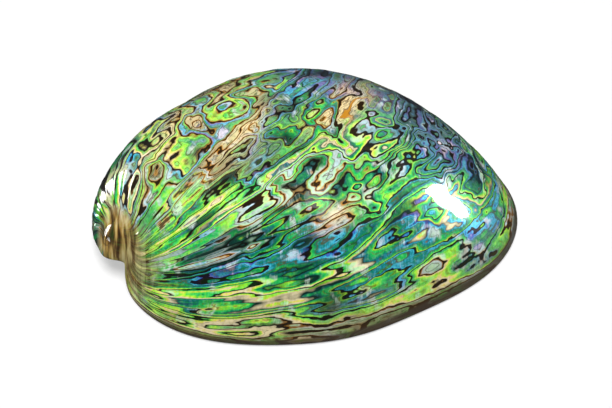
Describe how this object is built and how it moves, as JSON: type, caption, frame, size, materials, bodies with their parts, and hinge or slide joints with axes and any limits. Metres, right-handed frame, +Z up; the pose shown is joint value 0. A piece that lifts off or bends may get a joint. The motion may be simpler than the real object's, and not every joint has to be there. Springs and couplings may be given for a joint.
{
  "type": "abalone shell",
  "caption": "Polished abalone shell lying mouth down: a low oval dome with a small spire at one end, a row of breathing holes along one side, and an open hollow underneath.",
  "frame": {"origin": "on the ground, under the middle of the shell's outline as seen from above", "axes": "+X towards the front of the shell, away from the spire; +Y towards its left side, where the holes are; +Z up, out of the top of the dome"},
  "size_m": [0.1547, 0.1137, 0.0437],
  "materials": {
    "nacre": "polished iridescent nacre with dark growth lines"
  },
  "bodies": {
    "root": {"shell": "nacre"}
  },
  "joints": []
}
